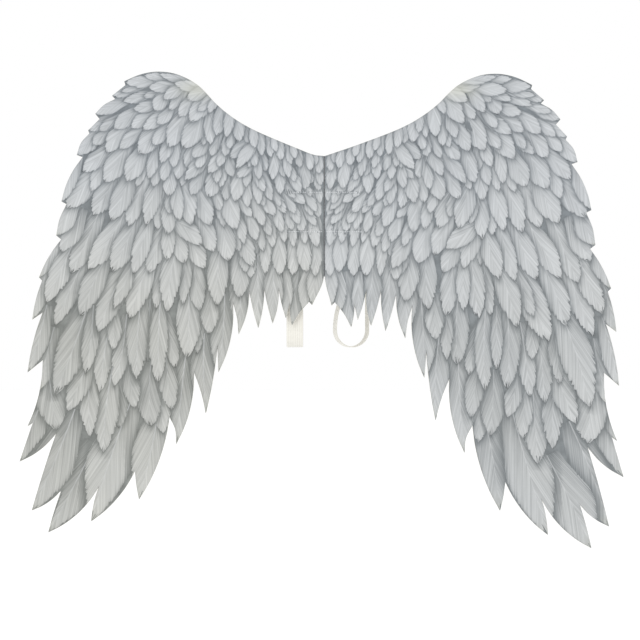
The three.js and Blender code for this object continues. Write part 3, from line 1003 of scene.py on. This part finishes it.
def grow_feathers(wing, random):
    feathers = []
    for kind, layout in (("primary", PRIMARY), ("secondary", SECONDARY), ("covert", COVERT)):
        feathers += [Feather(wing, spec, kind, random) for spec in layout]
    feathers = [f for f in feathers if f.faces]
    shade_feathers(feathers, wing)
    pieces = []
    for kind in ("primary", "secondary", "covert"):
        points, faces, values = [], [], {}
        offset = 0
        for f in feathers:
            if f.kind != kind:
                continue
            count = len(f.flat)
            corners, sides = f.skirt(offset + count)
            pick = np.concatenate([np.arange(count), corners, corners]).astype(int)
            x, z = f.flat[pick].T
            height = f.height[pick]
            height[count + len(corners) :] = -THINNEST_FILM
            y = FACE_FRONT / MM - height + bend(x, z)
            points.append(np.stack([x, y, z], axis=1) * MM)
            faces += [tuple(i + offset for i in face) for face in f.faces] + sides
            offset += len(pick)
            shaft = np.clip((f.length - 60) / 70, 0, 1) * np.clip(1.1 - f.v, 0, 1)
            at_tip = np.exp(-(1 - f.v) / TIP_BLUSH_FADE)
            tipped = TIP_BLUSH * at_tip if kind == "primary" else 0.0
            columns = {
                "across": f.across, "barb": f.barb, "seed": np.full(count, f.seed),
                "shade": f.shade, "brushed": f.brushed, "shaft": shaft, "warm": wing.warm(f.flat),
                "cream": np.clip(cream(wing, f.flat) + tipped, 0, 1),
            }
            for key, value in columns.items():
                values.setdefault(key, []).append(value[pick])
        values = {key: np.concatenate(value) for key, value in values.items()}
        name = f"{wing.name}_{kind}_feathers"
        pieces.append(make_object(name, np.concatenate(points), faces, FEATHER, values))
    return pieces


def declare_layer(piece, wing, node):
    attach(piece, f"{wing.name}_wing")
    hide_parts(node)


def build_wing(name, random):
    wing = Wing(name)
    feathers = grow_feathers(wing, random)
    for piece in feathers:
        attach(piece, f"{name}_wing")
    face = layer_mesh(wing, "face_cloth", FACE_FRONT, FACE_BACK, GAP, 9.0)
    core = layer_mesh(wing, "foam_sheet", FACE_BACK, CORE_BACK, FOAM, 18.0, bulge=0.35)
    lining = layer_mesh(wing, "lining_cloth", CORE_BACK, LINING_BACK, LINING, 9.0)
    declare_layer(face, wing, f"{name}_printed_face")
    declare_layer(core, wing, f"{name}_foam_core")
    declare_layer(lining, wing, f"{name}_back_lining")


RANDOM = np.random.default_rng(7)
build_wing("left", RANDOM)
build_wing("right", RANDOM)


# ---- The back patch ---------------------------------------------------------------------------

STRAP_BOX = node_box("right_strap_upper_end")
STRAP_WIDTH = (STRAP_BOX[1].x - STRAP_BOX[0].x) / MM
STRAP_X = {
    side: sum(corner.x for corner in node_box(f"{side}_strap_upper_end")) / 2 / MM
    for side in ("left", "right")
}
SIGN = {"left": -1, "right": 1}
CORDS = 9  # rubber cords across the width of the elastic
CORD_DEPTH = 0.20  # share of its thickness by which it is thinner between two cords
EDGE_DROP = 0.35  # share by which it is thinner at its two edges


def band_solid(name, centre, wide, thick, material):
    """A flat corded band along a path, both faces and its sides.

    `centre`, `wide` and `thick` give the path and the two directions at each step, in mm.
    """
    centre, wide, thick = (np.array(a, float) for a in (centre, wide, thick))
    columns = 8 * CORDS + 1
    u = np.linspace(-1, 1, columns)
    wave = np.abs(np.cos(u * CORDS * math.pi / 2)) ** 0.7
    profile = (1 - EDGE_DROP * np.abs(u) ** 16) * (1 - CORD_DEPTH + CORD_DEPTH * wave)
    around = np.concatenate([u, u[::-1]])
    side = np.concatenate([profile, -profile[::-1]])
    # painted shade in the grooves: 1 between two cords, 0 on a cord's top
    groove_shade = np.concatenate([1 - wave, 1 - wave[::-1]])
    points = centre[:, None] + wide[:, None] * around[None, :, None]
    points = points + thick[:, None] * side[None, :, None]
    rows, ring = len(centre), len(around)
    index = np.arange(rows * ring).reshape(rows, ring)
    ahead = np.roll(index, -1, axis=1)
    quads = np.stack([index[:-1], ahead[:-1], ahead[1:], index[1:]], axis=-1).reshape(-1, 4).tolist()
    for row, flip in ((0, True), (rows - 1, False)):
        for i in range(columns - 1):
            cap = [index[row, k] for k in (i, i + 1, ring - 2 - i, ring - 1 - i)]
            quads.append(cap[::-1] if flip else cap)
    steps = np.linalg.norm(np.diff(centre, axis=0), axis=1)
    along = np.concatenate([[0], np.cumsum(steps)])
    width = np.linalg.norm(wide, axis=1).mean()
    values = {
        "across": np.tile(around * width, rows),
        "along": np.repeat(along, ring),
        "groove_shade": np.tile(groove_shade, rows),
    }
    piece = make_object(name, points.reshape(-1, 3) * MM, quads, material, values)
    mark_creases(piece)
    return piece, float(along[-1])


def mark_creases(piece, angle=math.radians(50)):
    """Keeps the edges of a smooth-shaded piece crisp where its faces turn sharply."""
    piece.data.update()
    normals = [p.normal for p in piece.data.polygons]
    beside = {}
    for polygon in piece.data.polygons:
        for key in polygon.edge_keys:
            beside.setdefault(key, []).append(polygon.index)
    for edge in piece.data.edges:
        pair = beside.get(tuple(sorted(edge.vertices)), [])
        if len(pair) == 2 and normals[pair[0]].angle(normals[pair[1]], 0) > angle:
            edge.use_edge_sharp = True


DIP, DIP_WIDTH = 0.30, 1.4  # mm that the patch is drawn in at a row of stitches, and how near
RIPPLE, RIPPLE_LENGTH, RIPPLE_WIDTH = 0.07, 3.2, 4  # mm, the puckers along a row
HEM, HEM_WIDTH = 6.0, 0.8  # mm from the edge to the hem's seam, and the seam's half width
EDGE_DIP, SEAM_DIP = 0.35, 0.22  # mm that the cloth is thinner at its edge and at that seam


def build_patch(side):
    """Half the back patch, from the fold outwards: a woven cloth drawn in at its stitches."""
    sign = SIGN[side]
    width, high, low = PATCH_BOX[1].x / MM, PATCH_BOX[1].z / MM, PATCH_BOX[0].z / MM
    columns, rows = 72, 76
    xs = np.linspace(0.0, width, columns)
    zs = np.linspace(low, high, rows)
    x, z = np.meshgrid(xs, zs)
    from_edge = np.minimum(np.minimum(width - x, high - z), z - low)
    from_row = np.abs(z) - STITCH_HALF_HEIGHT
    dip = DIP * np.exp(-((from_row / DIP_WIDTH) ** 2)) * (x < STITCH_REACH + 1)
    pucker = np.sin(x / RIPPLE_LENGTH * 2 * math.pi)
    ripple = RIPPLE * pucker * np.exp(-((from_row / RIPPLE_WIDTH) ** 2))
    edge = np.exp(-((from_edge / HEM_WIDTH) ** 2))
    seam = np.exp(-(((from_edge - HEM) / HEM_WIDTH) ** 2))
    back = PATCH_BACK / MM - dip - (EDGE_DIP * edge + SEAM_DIP * seam) + ripple - 0.05
    front = np.full_like(back, LINING_BACK / MM + 0.02)
    count = x.size
    points = np.stack([sign * x, back, z], axis=-1).reshape(-1, 3)
    points = np.vstack([points, np.stack([sign * x, front, z], axis=-1).reshape(-1, 3)])
    faces = grid_faces(rows, columns, flip=sign > 0)
    faces += [[i + count for i in reversed(f)] for f in faces]
    rim = grid_border(rows, columns)
    for a, b in zip(rim, rim[1:] + rim[:1]):
        face = [a, b, b + count, a + count]
        faces.append(face if sign < 0 else face[::-1])
    piece = make_object(f"{side}_patch_cloth", points * MM, faces, PATCH)
    mark_creases(piece)
    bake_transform(piece)
    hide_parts(f"{side}_back_patch", "patch_middle")


# ---- The stitching ----------------------------------------------------------------------------

STITCH_START = 3.2  # mm from the fold to the first stitch
STITCH_PITCH = 3.4
STITCH_LENGTH = 2.9
THREAD_RADIUS = 0.27
THREAD_SINK = 0.10  # mm that the ends of a stitch lie below the surface
THREAD_SLACK = 0.10  # mm that a stitch may lie off its row


def stitch_row(name, sign, height, surface, towards, node, body):
    """A row of machine stitches that lies on a surface and dips into it between stitches.

    `surface` gives the depth in mm that the row lies on at each distance from the fold, and
    `towards` is the side that it lies on: -1 for the printed side, +1 for the wearer's.
    """
    sides, steps = 8, 9
    points, faces = [], []
    for number in range(int((STITCH_REACH - STITCH_START) / STITCH_PITCH)):
        start = STITCH_START + number * STITCH_PITCH
        offset = len(points)
        for i in range(steps + 1):
            t = i / steps
            x = start + t * STITCH_LENGTH
            rise = math.sin(math.pi * t) ** 0.5
            y = surface(x) + towards * (rise * (THREAD_RADIUS + THREAD_SINK) - THREAD_SINK)
            slack = THREAD_SLACK * math.sin(number * 2.4)
            radius = THREAD_RADIUS * (0.55 + 0.45 * rise)
            for k in range(sides):
                angle = 2 * math.pi * k / sides
                out = radius * (1 + 0.12 * math.cos(2 * angle + i * 1.3))  # two-ply
                z = height + slack + out * math.cos(angle)
                points.append((sign * x, y + out * math.sin(angle), z))
        for i in range(steps):
            for k in range(sides):
                a = offset + i * sides + k
                b = offset + i * sides + (k + 1) % sides
                quad = (a, b, b + sides, a + sides)
                faces.append(quad if sign > 0 else quad[::-1])
        for ring, flip in ((0, sign > 0), (steps, sign < 0)):
            cap = [offset + ring * sides + k for k in range(sides)]
            faces.append(tuple(reversed(cap)) if flip else tuple(cap))
    piece = make_object(name, np.array(points) * MM, faces, THREAD)
    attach(piece, body)
    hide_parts(node)


def build_stitches(side):
    sign = SIGN[side]
    strap = abs(STRAP_X[side])
    half = STRAP_WIDTH / 2

    def front(x):
        return FACE_FRONT / MM

    def back(x):
        edge = smoothstep((half + 0.8 - abs(x - strap)) / 1.6)
        return PATCH_BACK / MM + STRAP_THICKNESS * float(edge)

    for row, height in (("upper", STITCH_HALF_HEIGHT), ("lower", -STITCH_HALF_HEIGHT)):
        for kind, surface, towards in (("needle", front, -1), ("bobbin", back, 1)):
            name = f"{side}_{row}_{kind}"
            stitch_row(
                f"{name}_stitches", sign, height, surface, towards, f"{name}_thread", f"{side}_wing"
            )


# ---- The elastic straps -------------------------------------------------------------------------

STRAP_THICKNESS = 1.5
STRAP_GAP = 0.3  # the CAD leaves this between a sewn end and its loop
LOOP_BOX = node_box("left_strap_loop")
SEWN_INNER = STRAP_BOX[0].z / MM
SEWN_OUTER = LOOP_BOX[1].z / MM + STRAP_GAP
LOWER_CUT = node_box("right_strap_lower_end")[0].z / MM
LOOP_BOTTOM = LOOP_BOX[0].z / MM
LOOP_RADIUS = (LOOP_BOX[1].y - LOOP_BOX[0].y) / 2 / MM - STRAP_THICKNESS / 2
LOOP_TURN = {"left": 0.0, "right": -78.0}
TWIST_UPPER = (SEWN_INNER - 2.0, -58.0)  # heights between which the twist comes into the leg
TWIST_LOWER = (LOWER_CUT, -150.0)
STAND_OFF = {side: JOINTS[f"{side}_strap_swing"]["pos_m"][1] / MM for side in ("left", "right")}
STEP = 2.4  # mm between the rows of a strap's mesh
BAND_TURNS_AFTER = 60  # mm short of the loop's axis from which the band may twist
LOOP_PULL, RETURN_PULL = 50, 35  # mm over which the return leaves the loop, and nears its end
SWING_SHARE = 0.6  # share of the height below the patch over which the return swings in


def bezier(a, b, c, d, count=40):
    t = np.linspace(0, 1, count)[:, None]
    a, b, c, d = (np.array(p, float) for p in (a, b, c, d))
    return (1 - t) ** 3 * a + 3 * (1 - t) ** 2 * t * b + 3 * (1 - t) * t**2 * c + t**3 * d


def even_steps(path):
    lengths = np.concatenate([[0], np.cumsum(np.linalg.norm(np.diff(path, axis=0), axis=1))])
    want = np.linspace(0, lengths[-1], max(3, int(lengths[-1] / STEP)))
    return np.stack([np.interp(want, lengths, path[:, i]) for i in (0, 1)], axis=1)


def strap_run(name, side, path, on_axis, twist, ends):
    """One run of a strap. `path` is (distance from the patch, or from the loop's axis, height)."""
    stand_off = STAND_OFF[side]
    turn = math.radians(LOOP_TURN[side])
    centre, wide, thick = [], [], []
    slopes = np.gradient(path, axis=0)
    for (distance, height), slope, loop in zip(path, slopes, on_axis):
        share = float(smoothstep((height - twist[0]) / (twist[1] - twist[0]))) if loop else 0.0
        angle = turn * share
        out = np.array([-math.sin(angle), math.cos(angle), 0])
        across = np.array([math.cos(angle), math.sin(angle), 0])
        reach = distance - stand_off
        axis = np.array([STRAP_X[side], stand_off, height])
        direction = slope / np.linalg.norm(slope)
        normal = out * direction[1] - np.array([0, 0, 1]) * direction[0]
        centre.append(axis + out * reach)
        wide.append(across * STRAP_WIDTH / 2)
        thick.append(normal * STRAP_THICKNESS / 2)
    piece, length = band_solid(name, centre, wide, thick, ELASTIC)
    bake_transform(piece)
    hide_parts(*ends)


def build_strap(side):
    stand_off = STAND_OFF[side]
    mid = STRAP_THICKNESS / 2
    radius = (stand_off - mid) / 2
    turn = LOOP_BOTTOM + LOOP_RADIUS + mid
    angles = np.linspace(math.pi, 0, 24)
    over = np.stack([np.cos(angles), np.sin(angles)], axis=1) * radius
    over = np.array([mid + radius, SEWN_OUTER]) + over
    fully_out = (-SEWN_OUTER + LOWER_CUT) / 2
    top = SEWN_OUTER - STRAP_GAP
    reach = (top - fully_out) / 2
    leg = bezier(
        (0, top), (0, top - reach), (LOOP_RADIUS, fully_out + reach), (LOOP_RADIUS, fully_out)
    )
    angles = np.linspace(0, -math.pi, 36)
    bottom = np.stack([LOOP_RADIUS * np.cos(angles), turn + LOOP_RADIUS * np.sin(angles)], axis=1)
    loop = np.vstack([leg, [[LOOP_RADIUS, turn]], bottom]) + np.array([stand_off, 0])
    path = even_steps(np.vstack([[[mid, SEWN_INNER]], over, loop]))
    strap_run(
        f"{side}_strap_band", side, path, path[:, 0] > stand_off - BAND_TURNS_AFTER, TWIST_UPPER,
        (f"{side}_strap_upper_end", f"{side}_strap_loop"),
    )
    end = LOWER_CUT - STRAP_GAP
    back = bezier(
        (-LOOP_RADIUS, turn), (-LOOP_RADIUS, turn + LOOP_PULL), (0, end - RETURN_PULL), (0, end)
    ) + np.array([stand_off, 0])
    drop = (-SEWN_OUTER - LOWER_CUT) * SWING_SHARE
    swing = bezier(
        (stand_off, LOWER_CUT), (stand_off, LOWER_CUT + drop),
        (mid, -SEWN_OUTER - drop), (mid, -SEWN_OUTER), 30,
    )
    path = even_steps(np.vstack([back, swing, [[mid, -SEWN_INNER]]]))
    strap_run(
        f"{side}_strap_return", side, path, path[:, 1] < LOWER_CUT, TWIST_LOWER,
        (f"{side}_strap_lower_end",),
    )


for SIDE in ("left", "right"):
    build_patch(SIDE)
    build_stitches(SIDE)
    build_strap(SIDE)


# ---- The strip of face fabric along the fold ----------------------------------------------------


FOLD_CLEARANCE = 0.15  # mm between the cloth in the fold and the edges of the wings
CLOTH_HOLLOW, CLOTH_THICKNESS = 0.08, 0.20  # mm, of the cloth in the fold


def build_fold_strip():
    """The face fabric where it dips into the fold, clear of both wings when they close."""
    low, high = node_box("fold_face_strip")
    columns, rows = 9, 90
    half = FOLD_EDGE / MM - FOLD_CLEARANCE
    u, z = np.meshgrid(np.linspace(-1, 1, columns), np.linspace(low.z, high.z, rows) / MM)
    front = FACE_BACK / MM + 0.02 - CLOTH_HOLLOW * (1 - u**2)
    back = np.full(u.shape, FACE_BACK / MM + CLOTH_THICKNESS)
    points = np.concatenate(
        [np.stack([half * u, y, z], axis=-1).reshape(-1, 3) for y in (front, back)]
    )
    count = rows * columns
    faces = grid_faces(rows, columns)
    faces += [[i + count for i in reversed(f)] for f in faces]
    rim = grid_border(rows, columns)
    faces += [[b, a, a + count, b + count] for a, b in zip(rim, rim[1:] + rim[:1])]
    piece = make_object("fold_cloth", points * MM, faces, CREASE_SHADE)
    mark_creases(piece)
    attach(piece, "fold")
    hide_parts("fold_face_strip")


build_fold_strip()
